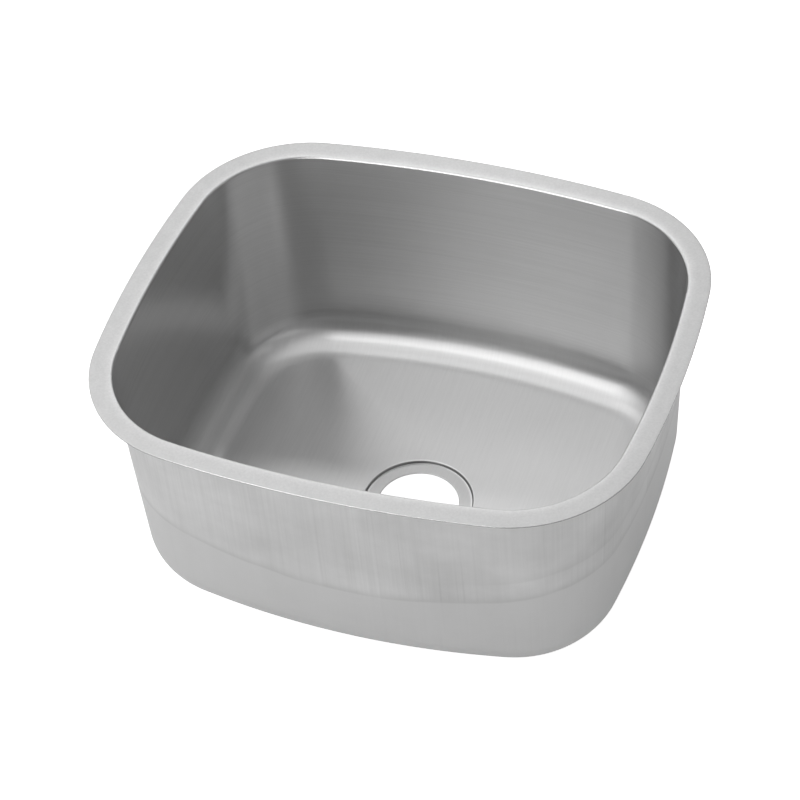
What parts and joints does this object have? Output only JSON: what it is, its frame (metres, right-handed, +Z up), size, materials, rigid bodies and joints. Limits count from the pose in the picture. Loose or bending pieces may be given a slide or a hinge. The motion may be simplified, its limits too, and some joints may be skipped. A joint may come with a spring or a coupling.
{
  "type": "undermount kitchen sink",
  "caption": "Single deep-drawn steel kitchen sink bowl with a flat undermount flange, bowed sides, large corner radii and a recessed central drain opening.",
  "frame": {"origin": "on the drain's axis, in the plane of the drain recess's underside, which is the lowest face of the part", "axes": "+Z up out of the bowl along the drain's axis, +X along the long sides, +Y across the bowl"},
  "size_m": [0.5838, 0.503, 0.2698],
  "materials": {
    "brushed_sheet": "brushed along the long walls and across the floor, satin on the flange",
    "pad_rubber": "matte"
  },
  "bodies": {
    "root": {"bowl": "brushed_sheet", "pad_left": "pad_rubber", "pad_right": "pad_rubber"}
  },
  "joints": []
}
